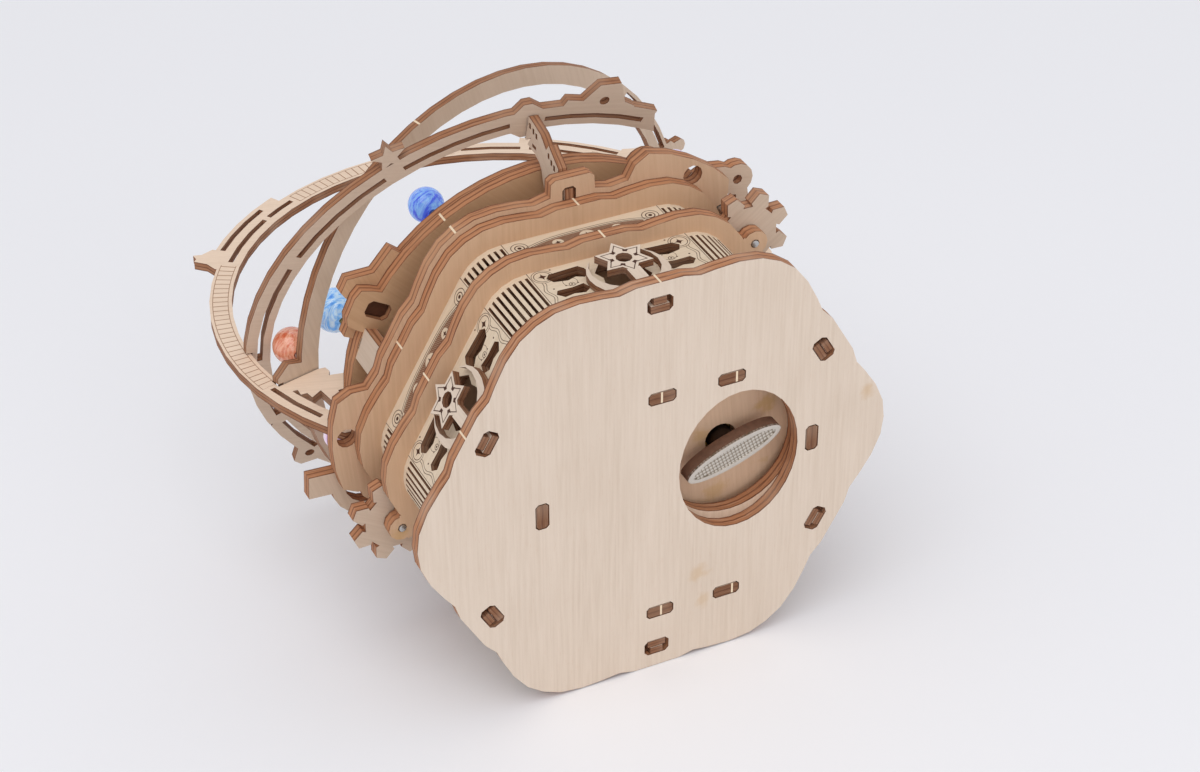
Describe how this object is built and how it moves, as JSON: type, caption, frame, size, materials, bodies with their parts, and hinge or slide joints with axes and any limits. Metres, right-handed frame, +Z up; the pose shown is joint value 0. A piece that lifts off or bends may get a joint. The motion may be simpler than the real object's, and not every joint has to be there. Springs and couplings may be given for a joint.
{
  "type": "music box",
  "caption": "Hexagonal plywood music box with pierced kerf-bent walls, armillary rings, geared planet arms and a winding key recessed in its base.",
  "frame": {"origin": "centre of the bottom plate's underside", "axes": "+Z up through the rings; +X through one corner of the six-sided base, so the winding key lies on -X; the meridian ring stands in the X-Z plane"},
  "size_m": [0.1258, 0.1136, 0.1452],
  "materials": {
    "wood_pale": "raw laser-cut birch plywood, pale face",
    "wood": "raw laser-cut birch plywood",
    "wood_dark": "laser-browned plywood",
    "steel": "plain steel",
    "brass": "plain brass",
    "glass_pink": "marbled bead",
    "glass_purple": "marbled bead",
    "glass_orange": "marbled bead",
    "glass_pale_blue": "marbled bead",
    "glass_blue": "marbled bead",
    "glass_amber": "marbled bead"
  },
  "bodies": {
    "case": {"base_plate": "wood_pale", "inner_plate": "wood", "recess_floor": "wood", "box_wall_back": "wood", "box_wall_front": "wood", "box_wall_left": "wood", "box_wall_right": "wood", "lower_wall": "wood_pale", "crescents_1": "wood_pale", "star_1": "wood_pale", "crescents_2": "wood_pale", "star_2": "wood_pale", "crescents_3": "wood_pale", "star_3": "wood_pale", "crescents_4": "wood_pale", "star_4": "wood_pale", "crescents_5": "wood_pale", "star_5": "wood_pale", "crescents_6": "wood_pale", "star_6": "wood_pale", "second_plate": "wood", "upper_wall": "wood_pale", "third_plate": "wood", "fourth_plate": "wood", "spacer_post_1": "wood_dark", "spacer_post_2": "wood_dark", "spacer_post_3": "wood_dark", "top_plate": "wood", "crown_plate": "wood", "ear_key": "wood_dark", "meridian_ring": "wood_pale", "slanted_ring": "wood", "inner_ring": "wood", "upright": "wood", "bracket_left": "wood", "bracket_right": "wood", "bead_orange": "glass_orange", "movement_frame": "brass", "spring_barrel": "steel", "comb": "steel"},
    "key_drive": {"winding_key_face": "steel", "winding_key": "wood_dark", "drive_shaft": "steel", "drive_gears": "wood"},
    "drum": {"pinned_drum": "brass"},
    "outer_orbit": {"orbit_gear_high": "wood", "orbit_tube_arm": "brass", "bead_pale": "glass_pale_blue"},
    "inner_orbit": {"orbit_gear_low": "wood", "orbit_shaft": "steel", "sun": "glass_amber", "arm_blue": "steel", "bead_blue": "glass_blue"},
    "flower_left": {"spindle_left": "steel", "flower_gear_left": "wood", "bead_pink": "glass_pink"},
    "flower_right": {"spindle_right": "steel", "flower_gear_right": "wood", "bead_purple": "glass_purple"}
  },
  "joints": [
    {"name": "key_turn", "type": "hinge", "parent": "case", "child": "key_drive", "pos_m": [-0.0182, 0, 0.01], "axis": [0, 0, 1], "continuous": true},
    {"name": "drum_turn", "type": "hinge", "parent": "case", "child": "drum", "pos_m": [0.0034, -0.006, 0.0181], "axis": [0, 1, 0], "continuous": true},
    {"name": "outer_orbit_turn", "type": "hinge", "parent": "case", "child": "outer_orbit", "pos_m": [0, 0, 0.0475], "axis": [0, 0, 1], "continuous": true},
    {"name": "inner_orbit_turn", "type": "hinge", "parent": "case", "child": "inner_orbit", "pos_m": [0, 0, 0.044], "axis": [0, 0, 1], "continuous": true},
    {"name": "flower_left_turn", "type": "hinge", "parent": "case", "child": "flower_left", "pos_m": [0.04598, -0.01232, 0.0285], "axis": [0, 0, 1], "continuous": true},
    {"name": "flower_right_turn", "type": "hinge", "parent": "case", "child": "flower_right", "pos_m": [-0.03366, 0.03366, 0.0285], "axis": [0, 0, 1], "continuous": true}
  ],
  "couplings": [
    {"joint": "drum_turn", "follows": "key_turn", "ratio": 4},
    {"joint": "outer_orbit_turn", "follows": "key_turn", "ratio": -0.4},
    {"joint": "inner_orbit_turn", "follows": "key_turn", "ratio": -0.75}
  ]
}
